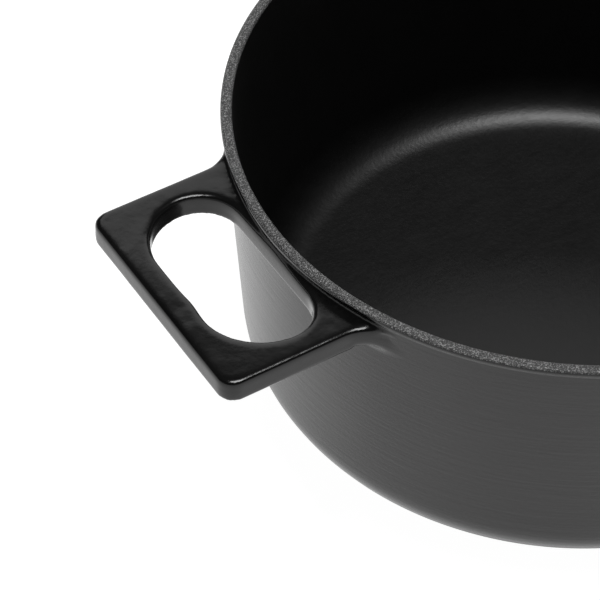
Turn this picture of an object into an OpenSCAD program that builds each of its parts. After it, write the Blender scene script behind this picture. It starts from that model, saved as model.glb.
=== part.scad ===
// Cast iron dutch oven: a pot with two cast loop handles, and a domed lid with a screwed-on knob.
// The pot stands open on its base. The lid lies upside down on its flat knob beside the pot, the way
// a cook puts it down, and turns over onto the rim about a line halfway between the two places.
// Origin: centre of the pot's base. +X points at the lid, +Z up. Millimetres.

/* [Pot] */
// Outside radius of the rim
rim_r = 130; // [110:1:150]
// Height from the base to the top of the rim
pot_h = 115; // [95:1:140]
// Thickness of the wall
wall_t = 3.6; // [3.4:0.1:5.5]
// Thickness of the floor
floor_t = 5; // [4:0.1:7]
// How much narrower the wall is at the base than under the rim, on the radius
wall_lean = 7.5; // [3:0.5:12]
// How far the rim band stands out from the wall
rim_step = 0.6; // [0.3:0.1:1.5]
// Height of the rim band
rim_band_h = 2.6; // [2:0.1:4]
// Radius of the round between the wall and the base, outside
base_round = 23; // [16:1:26]
// Radius of the round between the wall and the floor, inside
floor_round = 17; // [14:1:24]

/* [Handles] */
// How far each handle reaches out from the rim
handle_reach = 46.5; // [38:0.5:60]
// Width of each handle
handle_w = 94; // [84:1:110]
// Thickness of the handle plate
handle_t = 8.7; // [7:0.1:11]
// Drop from the top of the rim to the top of the handle
handle_drop = 5; // [4:0.5:12]
// Width of the bar that the hand grips
grip_bar_w = 10; // [8:0.5:14]
// Width of the two bars that join the grip bar to the pot
side_bar_w = 9.6; // [8:0.2:14]
// Strip of plate left between the finger hole and the wall
root_strip = 1.6; // [1:0.2:3]
// Corner radius of the finger hole at the grip bar
hole_round_out = 23; // [15:1:26]
// Corner radius of the finger hole at the wall
hole_round_in = 15; // [8:1:18]
// Corner radius of the plate
plate_round = 6; // [4:0.5:12]
// Radius of the hollow curve that joins each side bar to the wall
root_round = 14; // [8:1:18]

/* [Lid] */
// How far the lid's edge stands out past the rim
lid_overhang = 1; // [0:0.5:3]
// Thickness of the lid at its flat edge ring
lid_ring_t = 5; // [4:0.5:7]
// Thickness of the domed part
lid_t = 4.5; // [4:0.1:6]
// Rise of the dome above the edge ring
dome_rise = 14; // [10:1:24]
// Depth of the lip that keeps the lid centred in the rim
lip_h = 4.5; // [3:0.5:6]
// Gap all round between that lip and the inside of the rim
lip_gap = 2; // [1.6:0.1:3]
// Radius of the basting studs under the lid
stud_r = 2.6; // [2:0.1:3.5]

/* [Knob] */
// Radius of the knob's flat head
knob_r = 24; // [20:0.5:28]
// Height of the knob grip
knob_h = 28; // [26:1:34]
// Radius of the knob's stem
stem_r = 9.5; // [8.5:0.5:11]
// Nominal size of the knob's screw
screw_d = 6; // [5:1:6]

/* [Placing] */
// Distance from the middle of the pot to the middle of the lid beside it
lid_x = 420; // [410:5:480]
// Gap left between the rim and the seated lid
seat_gap = 0.3; // [0.2:0.1:0.5]

/* [Hidden] */
$fn = 128;
over = 1;                                   // how far a cut runs past a face

// Pot: the wall leans in at lean_a, so its radius falls with its height
wall_top_r = rim_r - rim_step;
lean_a = atan(wall_lean / pot_h);
function wall_r(z) = wall_top_r - (pot_h - z) * tan(lean_a);
edge_r = 1;                                 // round on the two edges of the rim

// Handles
handle_top = pot_h - handle_drop;
handle_wall_r = wall_r(handle_top);
handle_x = rim_r + handle_reach;
hole_x_out = handle_x - grip_bar_w;
hole_x_in = handle_wall_r + root_strip;
hole_w = handle_w - 2 * side_bar_w;
mid_wall_r = handle_wall_r - wall_t / 2;
plate_x = sqrt(pow(mid_wall_r, 2) - pow(handle_w / 2, 2));  // where the plate starts, inside the wall
buried_round = 1;                           // corner radius of the plate there
sunk = 0.5;                                 // how deep the root rounds run into the wall
root_overlap = 2;                           // how far each root round runs into the plate

// Lid, in its own seated place: its seat at z = 0 and its knob up
lid_r = rim_r + lid_overhang;
lip_r = rim_r - wall_t - lip_gap;
lip_taper = 1.2;
lip_w = 4;
dome_r = lip_r - lip_w;                     // where the dome springs from the edge ring
dome_sphere = (dome_r * dome_r + dome_rise * dome_rise) / (2 * dome_rise);
dome_top = lid_ring_t + dome_rise;
function dome_z(r, inset) = dome_top - dome_sphere + sqrt(pow(dome_sphere - inset, 2) - r * r);
seat_r = 15;                                // flat seat under the ferrule
seat_rise = 0.8;
seat_z = dome_top + seat_rise;
boss_r = 12;                                // boss under the lid that takes the screw's pull
boss_drop = 2;
boss_z = dome_top - lid_t - boss_drop;
lid_edge_round = 2.5;
stud_rings = 3;                             // each ring has stud_step more studs than the last
stud_step = 6;
stud_pitch = dome_r / (stud_rings + 1);

// Knob stack
screw_r = screw_d / 2;
screw_hole_r = screw_r + 0.4;
thread_depth = 0.4;                         // bite of the screw's thread in the insert
ferrule_h = 4;
ferrule_r = 13.5;
ferrule_slope = 2;
insert_r = screw_r + 2.5;
insert_h = 17;
head_r = 5.5;                               // rolled edge of the knob's head
stem_h = 6;                                 // straight part of the stem, under the flare
washer_t = 1.6;
washer_r = screw_r + 3.5;
lock_t = 1.6;
lock_r = screw_r + 2.4;
lock_slit = 1.2;
screw_head_r = screw_r + 3;
screw_head_h = 3.6;
screw_bite = 13;                            // length of thread inside the insert
thread_spare = 1;                           // thread left past the end of the screw
washer_play = 0.2;                          // gap between the screw and the flat washer's hole
lock_play = 0.15;                           // and the lock washer's
ferrule_edge = 1;                           // height of the ferrule's upright edge
hex_af = screw_d * 2 / 3;                   // hexagon socket, across flats
hex_depth = 2.2;
knob_z = seat_z + ferrule_h;
knob_top = knob_z + knob_h;
washer_z = boss_z - washer_t;
lock_z = washer_z - lock_t;
screw_len = knob_z + screw_bite - lock_z;

// The lid turns over about a line along Y, halfway between its two places
turn_x = lid_x / 2;
turn_z = (knob_top + pot_h + seat_gap) / 2;

// A square corner less its round, to take off an edge
module corner_cut(r) {
    difference() {
        square(r + over);
        circle(r);
    }
}

// Quarter of a disc, in the quadrant that the signs sx and sy point to
module quarter(r, sx, sy) {
    intersection() {
        circle(r);
        translate([min(0, sx * r), min(0, sy * r)]) square(r);
    }
}

// A rounded box in plan, from x0 to x1, with corner radius r0 at x0 and r1 at x1
module rounded_box(x0, x1, w, r0, r1) {
    h = w / 2;
    polygon([
        [x0, r0 - h], [x0 + r0, r0 - h], [x0 + r0, -h], [x1 - r1, -h], [x1 - r1, r1 - h], [x1, r1 - h],
        [x1, h - r1], [x1 - r1, h - r1], [x1 - r1, h], [x0 + r0, h], [x0 + r0, h - r0], [x0, h - r0]
    ]);
    for (s = [-1, 1]) {
        translate([x0 + r0, s * (h - r0)]) quarter(r0, -1, s);
        translate([x1 - r1, s * (h - r1)]) quarter(r1, 1, s);
    }
}

// Half section of a leaning cup shape: side line inset by t, bottom at z0 with round r, open at the top
module cup_section(t, z0, r, top) {
    side_r = wall_r(z0 + r) - t / cos(lean_a);
    centre = [side_r - r / cos(lean_a), z0 + r];
    polygon([
        [0, z0], [centre[0], z0], centre + r * [cos(lean_a), -sin(lean_a)],
        [wall_r(top) - t / cos(lean_a), top], [0, top]
    ]);
    translate(centre) quarter(r, 1, -1);
}

module pot_outside() {
    rotate_extrude() {
        cup_section(0, 0, base_round, pot_h - rim_band_h);
        difference() {
            translate([0, pot_h - rim_band_h]) square([rim_r, rim_band_h]);
            translate([rim_r - edge_r, pot_h - edge_r]) corner_cut(edge_r);
        }
    }
}

module pot_inside() {
    rotate_extrude() cup_section(wall_t, floor_t, floor_round, pot_h + over);
}

// Hollow curve between one side of the plate and the wall
module root_fill() {
    r_in = handle_wall_r - sunk;
    cy = handle_w / 2 + root_round;
    cx = sqrt(pow(r_in + root_round, 2) - cy * cy);
    side_y = handle_w / 2 - root_overlap;
    k = mid_wall_r / norm([cx, cy]);
    difference() {
        polygon([
            [cx, side_y], [cx, cy], [cx * k, cy * k],
            [sqrt(mid_wall_r * mid_wall_r - side_y * side_y), side_y]
        ]);
        translate([cx, cy]) circle(root_round);
    }
}

module handle() {
    translate([0, 0, handle_top - handle_t]) linear_extrude(handle_t) difference() {
        union() {
            rounded_box(plate_x, handle_x, handle_w, buried_round, plate_round);
            root_fill();
            mirror([0, 1]) root_fill();
        }
        rounded_box(hole_x_in, hole_x_out, hole_w, hole_round_in, hole_round_out);
    }
}

// One casting: wall, floor and both handles
module pot() {
    color("#262729") difference() {
        union() {
            pot_outside();
            handle();
            mirror([1, 0, 0]) handle();
        }
        pot_inside();
    }
}

// Puts a lid piece on the rim, then turns it over to where it lies on its knob beside the pot
module laid_down() {
    translate([turn_x, 0, turn_z]) rotate([0, 180, 0])
        translate([-turn_x, 0, pot_h + seat_gap - turn_z]) children();
}

module lid_section() {
    difference() {
        union() {
            square([lid_r, lid_ring_t]);
            intersection() {
                translate([0, dome_top - dome_sphere]) circle(dome_sphere, $fn = 720);
                square([dome_r, dome_top + over]);
            }
            polygon([
                [lip_r - lip_w, -lip_h], [lip_r - lip_taper, -lip_h], [lip_r, over], [lip_r - lip_w, over]
            ]);
            square([seat_r, seat_z]);
        }
        intersection() {
            translate([0, dome_top - dome_sphere]) circle(dome_sphere - lid_t, $fn = 720);
            translate([boss_r, -over]) square([lip_r - lip_w - boss_r, dome_top]);
        }
        translate([-over, -over]) square([boss_r + 2 * over, boss_z + over]);
        translate([lid_r - lid_edge_round, lid_ring_t - lid_edge_round]) corner_cut(lid_edge_round);
    }
}

// Domed casting with a seat ring, a centring lip, a screw boss and basting studs
module lid() {
    color("#262729") laid_down() difference() {
        union() {
            rotate_extrude() lid_section();
            for (ring = [1 : stud_rings])
                for (i = [1 : ring * stud_step])
                    rotate([0, 0, 360 * i / (ring * stud_step)])
                        translate([ring * stud_pitch, 0, dome_z(ring * stud_pitch, lid_t)]) sphere(stud_r);
        }
        translate([0, 0, -over]) cylinder(r = screw_hole_r, h = seat_z + 2 * over);
    }
}

// Moulded grip: a stem that flares into a flat round head
module knob_grip() {
    head_h = 2 * head_r;
    flare_r = knob_h - head_h - stem_h;
    color("#1b1b1c") laid_down() translate([0, 0, knob_z]) difference() {
        rotate_extrude() {
            square([stem_r, knob_h - head_r]);
            translate([0, knob_h - head_h]) square([knob_r - head_r, head_h]);
            translate([knob_r - head_r, knob_h - head_r]) intersection() {
                circle(head_r);
                translate([0, -head_r]) square([head_r, head_h]);
            }
            difference() {
                translate([0, stem_h]) square([knob_r - head_r, flare_r + over]);
                translate([stem_r + flare_r, stem_h]) circle(flare_r);
            }
        }
        translate([0, 0, -over]) cylinder(r = insert_r, h = insert_h + over);
    }
}

// Brass bush moulded into the grip, threaded for the screw
module knob_insert() {
    color("#b08d3f") laid_down() translate([0, 0, knob_z]) difference() {
        cylinder(r = insert_r, h = insert_h);
        translate([0, 0, -over]) cylinder(r = screw_r - thread_depth, h = screw_bite + thread_spare + over);
    }
}

// Steel ring that keeps the grip off the hot lid
module knob_ferrule() {
    color("#b9bbbe") laid_down() translate([0, 0, seat_z]) rotate_extrude() difference() {
        polygon([
            [0, 0], [ferrule_r, 0], [ferrule_r, ferrule_edge],
            [ferrule_r - ferrule_slope, ferrule_h], [0, ferrule_h]
        ]);
        translate([-over, -over]) square([screw_hole_r + over, ferrule_h + 2 * over]);
    }
}

// Socket screw, put in from inside the lid
module knob_screw() {
    color("#a9abae") laid_down() translate([0, 0, lock_z]) {
        cylinder(r = screw_r, h = screw_len);
        difference() {
            translate([0, 0, -screw_head_h]) cylinder(r = screw_head_r, h = screw_head_h);
            translate([0, 0, -screw_head_h - over])
                cylinder(r = hex_af / sqrt(3), h = hex_depth + over, $fn = 6);
        }
    }
}

module flat_washer() {
    color("#c4c6c9") laid_down() translate([0, 0, washer_z]) difference() {
        cylinder(r = washer_r, h = washer_t);
        translate([0, 0, -over]) cylinder(r = screw_r + washer_play, h = washer_t + 2 * over);
    }
}

// Split ring under the screw's head
module lock_washer() {
    color("#8f9194") laid_down() translate([0, 0, lock_z]) difference() {
        cylinder(r = lock_r, h = lock_t);
        translate([0, 0, -over]) cylinder(r = screw_r + lock_play, h = lock_t + 2 * over);
        translate([0, -lock_slit / 2, -over]) cube([lock_r + over, lock_slit, lock_t + 2 * over]);
    }
}

pot();
lid();
knob_grip();
knob_insert();
knob_ferrule();
knob_screw();
flat_washer();
lock_washer();
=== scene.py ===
# A round cast iron dutch oven: the open pot, and its lid lying upside down on its knob beside it.
# Metres, +Z up, with the origin at the centre of the pot's base. The model is put together in the
# order of the sections: pot, handles, lid, knob and its fixings, then floor, lights and camera.
import math

import bmesh
import bpy
from mathutils import Matrix, Vector, noise


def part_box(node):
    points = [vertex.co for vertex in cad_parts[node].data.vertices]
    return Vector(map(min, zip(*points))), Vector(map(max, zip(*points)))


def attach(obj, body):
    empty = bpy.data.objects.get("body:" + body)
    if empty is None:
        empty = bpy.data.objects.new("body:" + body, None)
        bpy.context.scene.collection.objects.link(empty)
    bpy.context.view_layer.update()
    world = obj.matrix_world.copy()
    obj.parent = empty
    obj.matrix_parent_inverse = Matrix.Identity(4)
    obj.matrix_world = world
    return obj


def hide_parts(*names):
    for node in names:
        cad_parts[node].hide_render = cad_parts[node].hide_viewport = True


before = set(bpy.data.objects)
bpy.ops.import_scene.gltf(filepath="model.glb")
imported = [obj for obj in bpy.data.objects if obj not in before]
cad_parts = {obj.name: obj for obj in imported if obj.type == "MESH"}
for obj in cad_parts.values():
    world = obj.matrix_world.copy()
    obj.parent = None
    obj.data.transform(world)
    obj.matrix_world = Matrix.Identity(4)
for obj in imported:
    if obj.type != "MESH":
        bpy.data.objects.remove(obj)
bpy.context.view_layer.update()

# ---- Pot: wall, floor and rim ------------------------------------------------------------------
# Grey iron poured in a sand mould: the wall leans in a little so that the pattern draws out, and
# runs into the floor through a large round. The rim is ground flat, and black enamel is fired on.
pot_low, pot_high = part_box("pot")
pot_h = pot_high.z
rim_r = pot_high.y
wall_t = 0.0036
floor_t = 0.005
rim_step = 0.0006
rim_band_h = 0.0026
rim_edge = 0.001
rim_outer_edge = 0.0012
hold = 0.001                # a ring this far from a corner keeps the face beyond it flat
past_round = 1.2            # and beside a large round, this many of its radii
base_round = 0.023
floor_round = 0.017
lean = math.atan(0.0075 / pot_h)
turn_steps = 256


def wall_r(z, inset=0.0):
    """Radius of the wall's outside at height z, or of a surface that far inside it."""
    return rim_r - rim_step - (pot_h - z) * math.tan(lean) - inset / math.cos(lean)


def turned(outline, rounds, closed=False, angle=math.tau, steps=turn_steps):
    """A shape spun round Z from its half section, with the numbered corners rounded first."""
    bm = bmesh.new()
    verts = [bm.verts.new((r, 0, z)) for r, z in outline]
    pairs = list(zip(verts, verts[1:])) + ([(verts[-1], verts[0])] if closed else [])
    for a, b in pairs:
        bm.edges.new((a, b))
    tangents = {}
    for index, (radius, segments) in rounds.items():
        corner = verts[index].co
        before = verts[index - 1].co - corner
        after = verts[(index + 1) % len(verts)].co - corner
        tangents[index] = radius / math.tan(before.angle(after) / 2)
    for index, (radius, segments) in rounds.items():
        bmesh.ops.bevel(bm, geom=[verts[index]], offset=tangents[index], offset_type="OFFSET",
                        segments=segments, profile=0.5, affect="VERTICES", material=-1,
                        clamp_overlap=False)
    bmesh.ops.spin(bm, geom=bm.verts[:] + bm.edges[:], cent=(0, 0, 0), axis=(0, 0, 1),
                   angle=angle, steps=steps, use_merge=angle == math.tau, use_duplicate=False)
    bmesh.ops.remove_doubles(bm, verts=bm.verts, dist=1e-6)
    bmesh.ops.recalc_face_normals(bm, faces=bm.faces)
    return bm


def piece(bm, name, body, *finishes):
    """Makes a smooth-shaded object of a bmesh, rides it on its body and gives it its finishes."""
    for face in bm.faces:
        face.smooth = True
    mesh = bpy.data.meshes.new(name)
    bm.to_mesh(mesh)
    bm.free()
    made = bpy.data.objects.new(name, mesh)
    bpy.context.scene.collection.objects.link(made)
    for finish in finishes:
        mesh.materials.append(finish.material)
    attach(made, body)
    return made


class Value:
    """The output of a shader node. Arithmetic on it adds the Math nodes that work it out."""

    def __init__(self, finish, socket):
        self.finish = finish
        self.socket = socket

    def math(self, operation, a, b):
        return self.finish.node("Math", {"operation": operation}, {0: a, 1: b})

    def __add__(self, other):
        return self.math("ADD", self, other)

    def __mul__(self, other):
        return self.math("MULTIPLY", self, other)

    def __rsub__(self, other):
        return self.math("SUBTRACT", other, self)

    __radd__ = __add__
    __rmul__ = __mul__


class Finish:
    """A material on the principled shader, and the one way that nodes are added to it."""

    def __init__(self, name, sockets):
        self.material = bpy.data.materials.new(name)
        self.material.use_nodes = True
        self.tree = self.material.node_tree
        self.shader = self.tree.nodes["Principled BSDF"]
        self.feed(self.shader, sockets)

    def feed(self, node, inputs):
        for key, value in inputs.items():
            if isinstance(value, Value):
                self.tree.links.new(value.socket, node.inputs[key])
            else:
                node.inputs[key].default_value = value

    def node(self, kind, settings, inputs, output=0):
        made = self.tree.nodes.new("ShaderNode" + kind)
        for key, value in settings.items():
            if key == "stops":
                for stop, (place, shade) in zip(made.color_ramp.elements, value):
                    stop.position = place
                    stop.color = (shade, shade, shade, 1)
            else:
                setattr(made, key, value)
        self.feed(made, inputs)
        return Value(self, made.outputs[output])

    def place(self, scale=(1, 1, 1)):
        """Object coordinates, stretched by scale. All the pieces share the object's own frame."""
        spot = self.node("TexCoord", {}, {}, "Object")
        return self.node("Mapping", {}, {"Vector": spot, "Scale": scale})

    def grain(self, scale, detail=2.0, stretch=(1, 1, 1), roughness=0.5):
        """Fractal noise between 0 and 1, with about that many features in a metre."""
        return self.node("TexNoise", {}, {"Vector": self.place(stretch), "Scale": scale,
                                          "Detail": detail, "Roughness": roughness})

    def step(self, value, low, high):
        """0 below low, 1 above high, and a smooth slope between."""
        return self.node("MapRange", {"interpolation_type": "SMOOTHSTEP"},
                         {"Value": value, "From Min": low, "From Max": high})

    def blend(self, factor, a, b):
        """Colour a where factor is 0 and colour b where it is 1."""
        return self.node("Mix", {"data_type": "RGBA"}, {"Factor": factor, "A": a, "B": b}, "Result")

    def bump(self, height, depth):
        """Feeds a relief of that depth in metres to the shader's normal."""
        bumped = self.node("Bump", {}, {"Height": height, "Distance": depth}, "Normal")
        self.feed(self.shader, {"Normal": bumped})


def grey(level, warmth=0.0):
    return (level * (1 + warmth), level, level * (1 - warmth), 1)


# The fired coat outside: satin on the wall, where fine lines from turning the pattern run round
# it, and thick and glossy on the handles and beside them, where it has the skin of an orange.
gloss_past_rim = 0.0003, 0.003      # it begins and is full that far outside the rim's radius
gloss_aside = 0.044, 0.052          # it is full and has ended that far to the side of a handle
gloss_height = 0.106, 0.109         # it begins and is full at that height
outer_enamel = Finish("outer_enamel", {"Specular IOR Level": 0.41})
spread = outer_enamel.place()
flat_place = outer_enamel.node("VectorMath", {"operation": "MULTIPLY"}, {0: spread, 1: (1, 1, 0)})
from_axis = outer_enamel.node("VectorMath", {"operation": "LENGTH"}, {0: flat_place}, "Value")
across = outer_enamel.node("SeparateXYZ", {}, {0: spread}, "Y")
height = outer_enamel.node("SeparateXYZ", {}, {0: spread}, "Z")
off_middle = outer_enamel.node("Math", {"operation": "ABSOLUTE"}, {0: across})
past_wall = outer_enamel.step(from_axis, *(rim_r + past for past in gloss_past_rim))
beside = 1 - outer_enamel.step(off_middle, *gloss_aside)
by_handle = beside * outer_enamel.step(height, *gloss_height)
glossy = outer_enamel.node("Math", {"operation": "MAXIMUM"}, {0: past_wall, 1: by_handle})
lines = outer_enamel.grain(26, 6, (1, 1, 22), 0.62)
pores = outer_enamel.grain(620, 3)
peel = outer_enamel.grain(240, 2.5)
swell = outer_enamel.grain(70, 1)
streaks = outer_enamel.step(lines, 0.3, 0.7)
outer_enamel.feed(outer_enamel.shader, {
    "Base Color": outer_enamel.blend(streaks, grey(0.002), grey(0.005)),
    "Roughness": (0.20 + 0.10 * lines) * (1 - glossy) + (0.14 + 0.05 * peel) * glossy})
on_wall = (lines * 1.1 + pores * 0.6) * (1 - glossy)
outer_enamel.bump(on_wall + (peel * 0.6 + swell * 0.8) * glossy, 0.00008)

# The coat inside: a matte black, a little rougher, that seasons with use.
inner_enamel = Finish("inner_enamel", {"Specular IOR Level": 0.5})
specks = inner_enamel.grain(520, 3, roughness=0.6)
wipes = inner_enamel.grain(60, 4, (1, 3.5, 1))
inner_enamel.feed(inner_enamel.shader, {
    "Base Color": inner_enamel.blend(wipes, grey(0.003), grey(0.007)),
    "Roughness": 0.30 + 0.10 * specks + 0.06 * wipes})
inner_enamel.bump(specks * 1.2 + wipes * 0.8, 0.00007)

# The ground rim, where the coat is thin and grains of bright iron show through.
rim_coat = Finish("rim_coat", {"Specular IOR Level": 0.5})
grit = rim_coat.grain(2300, 3, roughness=0.7)
patches = rim_coat.grain(150, 3)
bare = rim_coat.step(grit, 0.50, 0.62)
rim_coat.feed(rim_coat.shader, {
    "Base Color": rim_coat.blend(bare, grey(0.025), grey(0.36)),
    "Metallic": bare * 0.5,
    "Roughness": 0.34 + 0.2 * patches})
rim_coat.bump(grit, 0.00018)

band_z = pot_h - rim_band_h
outer_wall = [(wall_r(z), z) for z in (base_round * past_round, band_z - hold, band_z)]
inner_wall = [(wall_r(z, wall_t), z)
              for z in (pot_h, pot_h - rim_edge - hold, floor_t + floor_round * past_round, floor_t)]
flat_floor_r = wall_r(floor_t, wall_t) - floor_round * past_round
pot_outline = (
    [(0, 0), (wall_r(0), 0)] + outer_wall
    + [(rim_r, band_z + rim_step), (rim_r, pot_h)] + inner_wall
    + [(flat_floor_r, floor_t), (0, floor_t)])
base_corner, rim_outer, rim_inner, floor_corner = 1, 6, 7, 10      # their places in the outline
pot_shell = turned(pot_outline, {
    base_corner: (base_round, 14), rim_outer: (rim_outer_edge, 6), rim_inner: (rim_edge, 4),
    floor_corner: (floor_round, 18)})
OUTSIDE, INSIDE, RIM = 0, 1, 2
level_out, level_in = 0.5, 0.1      # how far up a face looks to count as ground, out and in
for face in pot_shell.faces:
    middle = face.calc_center_median()
    r = math.hypot(middle.x, middle.y)
    level = level_out if r > rim_r - wall_t / 2 else level_in
    if middle.z > pot_h - rim_edge and face.normal.z > level:
        face.material_index = RIM
    elif middle.z > floor_t / 2 and r < wall_r(middle.z, wall_t / 2):
        face.material_index = INSIDE

# ---- Pot: the two handles ----------------------------------------------------------------------
# Cast in one with the wall, just under the rim: a flat plate with a finger hole, which runs into
# the wall through hollow curves. Its edges are dulled by fettling and rounded by the enamel.
handle_top = pot_h - 0.005
handle_t = 0.0087
handle_w = 0.094
grip_bar_w = 0.010
side_bar_w = 0.0096
root_strip = 0.0016
plate_round = 0.006
root_round = 0.014
hole_round_out = 0.023
hole_round_in = 0.015
edge_break = 0.0011
run_depth, run_y, run_w = 0.0006, 0.007, 0.006     # a run of iron on the grip bar, by the hole
run_reach = 0.006
sunk_share = 0.55           # share of the wall's thickness that the plate is sunk into
wing_spread = 0.11          # radians that the plate runs on past its shoulders, inside the wall
wing_steps = 6
wing_skin = 0.0004          # how far its wings lie under the wall's skin
root_tangent = root_round * 0.68    # the corner at the root is blunt, so its tangent is short
buried_edge = 0.0005        # edges this near to the plate's sunk end are left sharp
sleeve_skin = 0.00006
sleeve_t = 0.003
sleeve_drop = 0.012         # how far the sleeve reaches down below the plate
sleeve_spare = 0.05         # radians that it runs past the wings
mesh_pitch = 0.0007
top_band = 0.0045           # depth of the plate's upper edges, which are rubbed again
root_band, root_side, root_reach = 0.0035, 0.035, 0.007    # and the roots, rubbed the most
swells = (75, 0.00006), (210, 0.00002)      # waves in a metre of enamel, and their height
swell_fade = 0.004          # they grow to that height over this distance from the wall


def rounded_loop(bm, corners, rounds, segments=12):
    """A closed loop of edges through corners, each rounded by the tangent length in rounds."""
    verts = [bm.verts.new((x, y, 0)) for x, y in corners]
    for a, b in zip(verts, verts[1:] + verts[:1]):
        bm.edges.new((a, b))
    for vert, tangent in zip(verts, rounds):
        if tangent:
            bmesh.ops.bevel(bm, geom=[vert], offset=tangent, offset_type="OFFSET",
                            segments=segments, profile=0.5, affect="VERTICES", material=-1,
                            clamp_overlap=False)


root_r = wall_r(handle_top)
half_w = handle_w / 2
plate = bmesh.new()
shoulder = math.asin(half_w / root_r)       # angle at which the plate's side meets the wall
sunk_r = root_r - wall_t * sunk_share
wing = shoulder + wing_spread
wing_r = root_r - wing_skin
side = [(pot_high.x, half_w), (root_r * math.cos(shoulder), half_w),
        (wing_r * math.cos(wing), wing_r * math.sin(wing))]
inside = [(sunk_r * math.cos(wing * t / wing_steps), sunk_r * math.sin(wing * t / wing_steps))
          for t in range(wing_steps, -wing_steps - 1, -1)]
other_side = [(x, -y) for x, y in reversed(side)]
side_rounds = [plate_round, root_tangent, 0]
rounded_loop(plate, side + inside + other_side,
             side_rounds + [0] * len(inside) + side_rounds[::-1])
hole_in, hole_out = root_r + root_strip, pot_high.x - grip_bar_w
hole_half = half_w - side_bar_w
rounded_loop(plate,
             [(hole_out, hole_half), (hole_in, hole_half), (hole_in, -hole_half), (hole_out, -hole_half)],
             [hole_round_out, hole_round_in, hole_round_in, hole_round_out])
bmesh.ops.bridge_loops(plate, edges=plate.edges)
raised = bmesh.ops.extrude_face_region(plate, geom=plate.faces[:])
top = {v for v in raised["geom"] if isinstance(v, bmesh.types.BMVert)}
bmesh.ops.translate(plate, verts=list(top), vec=(0, 0, handle_t))
bmesh.ops.recalc_face_normals(plate, faces=plate.faces)
rims = [e for e in plate.edges
        if e.calc_face_angle(0) > 1.2 and abs(e.verts[0].co.z - e.verts[1].co.z) < 1e-6
        and e.verts[0].co.xy.length > sunk_r + buried_edge]
bmesh.ops.bevel(plate, geom=rims, offset=edge_break, offset_type="OFFSET", segments=4,
                profile=0.5, affect="EDGES", material=-1, clamp_overlap=True)
bmesh.ops.translate(plate, verts=plate.verts, vec=(0, 0, handle_top - handle_t))

# The plate is fused with a thin sleeve that lies just under the wall's skin, on a fine even mesh,
# and then rubbed down, which leaves a hollow curve wherever the two meet.
sleeve_low, sleeve_high = handle_top - handle_t - sleeve_drop, pot_h - rim_band_h
sleeve = turned(
    [(wall_r(sleeve_low, sleeve_t), sleeve_low), (wall_r(sleeve_low, sleeve_skin), sleeve_low),
     (wall_r(sleeve_high, sleeve_skin), sleeve_high), (wall_r(sleeve_high, sleeve_t), sleeve_high)],
    {}, closed=True, angle=2 * wing + 2 * sleeve_spare, steps=48)
bmesh.ops.holes_fill(sleeve, edges=[e for e in sleeve.edges if e.is_boundary])
bmesh.ops.recalc_face_normals(sleeve, faces=sleeve.faces)
bmesh.ops.rotate(sleeve, verts=sleeve.verts, matrix=Matrix.Rotation(-wing - sleeve_spare, 3, "Z"))


def fused(name, *parts):
    """One closed shell round several solids that run into each other."""
    mesh = bpy.data.meshes.new(name)
    whole = bmesh.new()
    for part in parts:
        part.to_mesh(mesh)
        part.free()
        whole.from_mesh(mesh)
    whole.to_mesh(mesh)
    whole.free()
    lump = bpy.data.objects.new(name, mesh)
    bpy.context.scene.collection.objects.link(lump)
    remesh = lump.modifiers.new("even", "REMESH")
    remesh.mode = "VOXEL"
    remesh.voxel_size = mesh_pitch
    depsgraph = bpy.context.evaluated_depsgraph_get()
    made = bmesh.new()
    made.from_object(lump, depsgraph)
    bpy.data.objects.remove(lump)
    bpy.data.meshes.remove(mesh)
    return made


def rub(verts, strokes):
    """Rubs the handle down there, which rounds its edges and fills its hollows."""
    for stroke in range(strokes):
        bmesh.ops.smooth_vert(handle, verts=verts, factor=0.5,
                              use_axis_x=True, use_axis_y=True, use_axis_z=True)


handle = fused("handle", plate, sleeve)
rub(handle.verts, 7)
rub([v for v in handle.verts
     if v.co.z > handle_top - top_band and v.co.xy.length > root_r + 0.001], 12)
rub([v for v in handle.verts
     if abs(v.co.y) > root_side and v.co.z < handle_top - root_band
     and v.co.xy.length < root_r + root_reach], 36)
handle.normal_update()
for vert in handle.verts:
    outward = min(max((math.hypot(vert.co.x, vert.co.y) - root_r) / swell_fade, 0), 1)
    wave = sum(noise.noise(vert.co * scale) * rise for scale, rise in swells)
    vert.co += vert.normal * wave * outward
    by_hole = 1 - min(max(abs(vert.co.x - hole_out) / run_reach, 0), 1)
    vert.co.x -= run_depth * by_hole * math.exp(-((vert.co.y - run_y) / run_w) ** 2)

castings = bpy.data.meshes.new("castings")
for turn in (0, math.pi):
    copy = handle.copy()
    bmesh.ops.rotate(copy, verts=copy.verts, matrix=Matrix.Rotation(turn, 3, "Z"))
    copy.to_mesh(castings)
    copy.free()
    pot_shell.from_mesh(castings)
handle.free()
bpy.data.meshes.remove(castings)
pot = piece(pot_shell, "pot_casting", "pot_body", outer_enamel, inner_enamel, rim_coat)
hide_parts("pot")

# ---- Lid ---------------------------------------------------------------------------------------
# A second casting: a flat ring that sits on the rim, a lip that keeps it centred, a low dome, a
# boss for the knob's screw, and studs underneath that let the steam drip back on the food.
lid_low, lid_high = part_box("lid")
grip_low, grip_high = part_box("knob_grip")
lid_x = (lid_low.x + lid_high.x) / 2
lid_r = lid_high.y
lid_ring_t = 0.005
lid_t = 0.0045
lip_h = 0.0045
lip_gap = 0.002
lip_r = rim_r - wall_t - lip_gap
lip_w = 0.004
lip_taper = 0.0012
dome_rise = 0.014
dome_r = lip_r - lip_w
dome_ball = (dome_r ** 2 + dome_rise ** 2) / (2 * dome_rise)
dome_top = lid_ring_t + dome_rise
dome_steps = 14
seat_rise, boss_drop = 0.0008, 0.002
seat_r, seat_z = 0.015, dome_top + seat_rise
boss_r, boss_z = 0.012, dome_top - lid_t - boss_drop
ferrule_h = 0.004
knob_z = seat_z + ferrule_h
knob_top = knob_z + grip_high.z - grip_low.z
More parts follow.
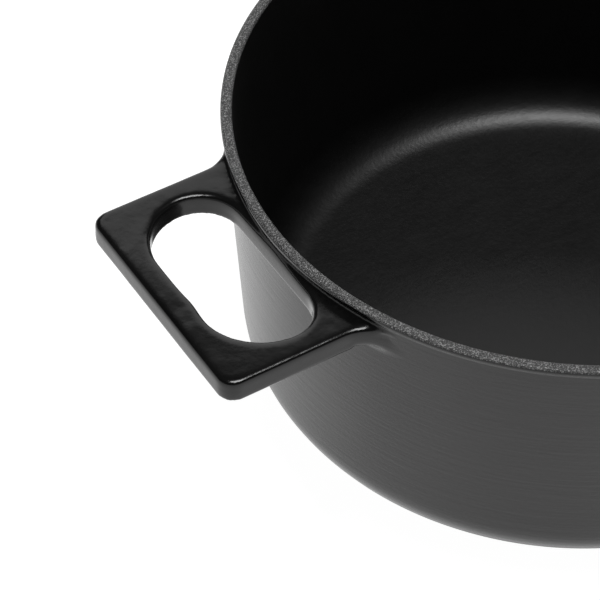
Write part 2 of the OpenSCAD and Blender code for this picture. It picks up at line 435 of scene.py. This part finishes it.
screw_r = 0.003
screw_gap = 0.0004
screw_hole_r = screw_r + screw_gap
stud_r = 0.0026
stud_rings, stud_step = 3, 6


def dome_z(r, inset=0.0):
    """Height of the dome's outside at radius r, or of a surface that far inside it."""
    return dome_top - dome_ball + math.sqrt((dome_ball - inset) ** 2 - r * r)


def lay_down(bm):
    """Turns a seated lid piece over and puts it on its knob beside the pot."""
    bmesh.ops.rotate(bm, verts=bm.verts, matrix=Matrix.Rotation(math.pi, 3, "Y"))
    bmesh.ops.translate(bm, verts=bm.verts, vec=(lid_x, 0, knob_top))
    return bm


over_from, under_from = seat_r + 0.004, boss_r + 0.003      # where the seat and the boss give way
over_dome = [over_from + (dome_r - over_from) * t / dome_steps for t in range(dome_steps + 1)]
under_dome = [under_from + (dome_r - under_from) * t / dome_steps for t in reversed(range(dome_steps))]
lid_outline = (
    [(screw_hole_r, seat_z), (seat_r, seat_z)] + [(r, dome_z(r)) for r in over_dome]
    + [(lid_r, lid_ring_t), (lid_r, 0), (lip_r, 0)]
    + [(lip_r - lip_taper, -lip_h), (lip_r - lip_w, -lip_h)]
    + [(r, dome_z(r, lid_t)) for r in under_dome] + [(boss_r, boss_z), (screw_hole_r, boss_z)])
ring_at = 2 + len(over_dome)        # place in the outline of the ring's outer upper corner
lid_shell = turned(lid_outline, {
    1: (0.0006, 3), ring_at - 1: (0.012, 5), ring_at: (0.0025, 6), ring_at + 1: (0.0012, 4),
    ring_at + 2: (0.0005, 2), ring_at + 3: (0.001, 3), ring_at + 4: (0.001, 3)}, closed=True)
studs = bmesh.new()
for ring in range(1, stud_rings + 1):
    r = dome_r * ring / (stud_rings + 1)
    for i in range(ring * stud_step):
        turn = math.tau * i / (ring * stud_step)
        spot = Matrix.Translation((r * math.cos(turn), r * math.sin(turn), dome_z(r, lid_t)))
        bmesh.ops.create_uvsphere(studs, u_segments=16, v_segments=10, radius=stud_r, matrix=spot)
stud_mesh = bpy.data.meshes.new("studs")
studs.to_mesh(stud_mesh)
studs.free()
lid_shell.from_mesh(stud_mesh)
bpy.data.meshes.remove(stud_mesh)
for face in lid_shell.faces:
    middle = face.calc_center_median()
    r = math.hypot(middle.x, middle.y)
    if r > lip_r and middle.z < 0.0004:
        face.material_index = RIM
    elif r < lid_r - 0.001 and face.normal.z < -0.2:
        face.material_index = INSIDE
lid = piece(lay_down(lid_shell), "lid_casting", "lid_body", outer_enamel, inner_enamel, rim_coat)
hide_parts("lid")

# ---- Knob grip ---------------------------------------------------------------------------------
# Black phenolic pressed in a hot mould: a stem that flares into a flat head, wide enough to stand
# the lid on. Polished by the mould, then worn dull on the head.
knob_r = (grip_high.y - grip_low.y) / 2
knob_h = grip_high.z - grip_low.z
stem_r = 0.0095
head_r = 0.0055
flare_z = 0.006
head_tangent = head_r * 0.98        # just short of meeting halfway up the head
insert_wall, insert_h = 0.0025, 0.017
insert_r = screw_r + insert_wall

phenolic = Finish("phenolic", {"Specular IOR Level": 0.5})
mottle = phenolic.grain(160, 3)
scuffs = phenolic.grain(1200, 2)
phenolic.feed(phenolic.shader, {
    "Base Color": phenolic.blend(mottle, grey(0.010, 0.02), grey(0.016, 0.03)),
    "Roughness": 0.26 + 0.16 * mottle})
phenolic.bump(scuffs, 0.00004)

head_low = knob_h - 2 * head_r
grip = turned(
    [(insert_r, 0), (stem_r, 0), (stem_r, head_low), (knob_r, head_low), (knob_r, knob_h),
     (0, knob_h), (0, insert_h), (insert_r, insert_h)],
    {1: (0.0006, 3), 2: (head_low - flare_z, 12), 3: (head_tangent, 10), 4: (head_tangent, 10)},
    closed=True)
bmesh.ops.translate(grip, verts=grip.verts, vec=(0, 0, knob_z))
knob = piece(lay_down(grip), "knob_grip", "lid_body", phenolic)
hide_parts("knob_grip")

# ---- Knob fixings ------------------------------------------------------------------------------
# A stainless ferrule keeps the grip off the hot lid. The socket screw comes up from inside through
# a flat washer and a split spring washer, into a brass bush that is moulded into the grip.
def metal(name, tint, roughness):
    """Turned or stamped metal with fine tool lines."""
    made = Finish(name, {"Metallic": 1.0})
    cuts = made.grain(900, 2, (1, 1, 6))
    haze = made.grain(140, 3)
    dull = tuple(0.8 * part for part in tint[:3]) + (1,)
    made.feed(made.shader, {"Base Color": made.blend(haze, dull, tint),
                            "Roughness": roughness + 0.12 * cuts})
    made.bump(cuts, 0.00002)
    return made


stainless = metal("stainless", (0.60, 0.59, 0.57, 1), 0.20)
spring_steel = metal("spring_steel", (0.30, 0.30, 0.31, 1), 0.30)
brass = metal("brass", (0.72, 0.54, 0.26, 1), 0.26)


def broken_edges(node, width, finish):
    """The same piece as the node, with its sharp edges broken."""
    bm = bmesh.new()
    bm.from_mesh(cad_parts[node].data)
    bmesh.ops.remove_doubles(bm, verts=bm.verts, dist=1e-6)
    bmesh.ops.dissolve_limit(bm, angle_limit=0.01, verts=bm.verts, edges=bm.edges)
    sharp = [e for e in bm.edges if e.is_manifold and e.calc_face_angle() > 0.6]
    bmesh.ops.bevel(bm, geom=sharp, offset=width, offset_type="OFFSET", segments=2,
                    profile=0.5, affect="EDGES", material=-1, clamp_overlap=True)
    made = piece(bm, node, "lid_body", finish)
    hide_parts(node)


broken_edges("knob_ferrule", 0.0004, stainless)
broken_edges("knob_screw", 0.0003, stainless)
broken_edges("flat_washer", 0.0002, stainless)
broken_edges("lock_washer", 0.0002, spring_steel)
broken_edges("knob_insert", 0.0003, brass)

# ---- Floor, lights and camera ------------------------------------------------------------------
# A white table that is lit from below as well, so that nothing on it throws a dark shadow. The sky
# is white at the horizon and dark above. One soft lamp hangs over the pot and one beyond it.
paper = Finish("paper", {"Roughness": 0.9, "Specular IOR Level": 0.2, "Emission Color": grey(1.0),
                         "Emission Strength": 0.97})
fibre = paper.grain(40, 4)
paper.feed(paper.shader, {"Base Color": paper.blend(fibre, grey(0.28), grey(0.3))})
paper.material.cycles.emission_sampling = "NONE"
floor_mesh = bmesh.new()
bmesh.ops.create_grid(floor_mesh, x_segments=1, y_segments=1, size=14)
floor_data = bpy.data.meshes.new("floor")
floor_mesh.to_mesh(floor_data)
floor_mesh.free()
floor_data.materials.append(paper.material)
floor = bpy.data.objects.new("floor", floor_data)
bpy.context.scene.collection.objects.link(floor)


class Sky(Finish):
    """The studio's surroundings, on the same nodes as the finishes."""

    def __init__(self, name):
        self.world = bpy.data.worlds.new(name)
        self.world.use_nodes = True
        self.tree = self.world.node_tree
        self.shader = self.tree.nodes["Background"]


sky = Sky("studio")
bpy.context.scene.world = sky.world
sky_rim, sky_top = 0.08, 0.35       # heights between which the sky darkens
upward = sky.node("SeparateXYZ", {}, {0: sky.node("TexCoord", {}, {}, "Generated")}, "Z")
sky.feed(sky.shader, {
    "Color": grey(1.0),
    "Strength": 0.07 + 0.9 * (1 - sky.step(upward, sky_rim, sky_top))})


def softbox(name, place, aim, size, power):
    """A square lamp at place that faces aim."""
    lamp = bpy.data.lights.new(name, "AREA")
    lamp.shape = "SQUARE"
    lamp.size = size
    lamp.energy = power
    made = bpy.data.objects.new(name, lamp)
    made.location = place
    made.rotation_mode = "QUATERNION"
    made.rotation_quaternion = (Vector(aim) - Vector(place)).to_track_quat("-Z", "Y")
    made.visible_camera = False
    bpy.context.scene.collection.objects.link(made)


lamp_away = 2.0


def hung(azimuth, elevation):
    """A place above the table, lamp_away from its middle, in that direction in degrees."""
    a, e = math.radians(azimuth), math.radians(elevation)
    return (lamp_away * math.cos(e) * math.cos(a), lamp_away * math.cos(e) * math.sin(a),
            lamp_away * math.sin(e))


softbox("lamp_over", hung(0, 86), (0, 0, 0.05), 0.7, 21)
softbox("lamp_beyond", hung(60, 32.3), (0, 0, 0.1), 1.28, 6.2)

camera = bpy.data.cameras.new("camera")
camera.sensor_width = 36
camera.lens = 180.3
camera.clip_start = 0.01
camera.clip_end = 60
eye = bpy.data.objects.new("camera", camera)
eye.location = (-0.5005, -0.6200, pot_h + 0.7340)
eye.rotation_mode = "QUATERNION"
eye.rotation_quaternion = Vector((0.35996, 0.58502, -0.72676)).to_track_quat("-Z", "Y")
bpy.context.scene.collection.objects.link(eye)
bpy.context.scene.camera = eye
bpy.context.scene.view_settings.view_transform = "Standard"
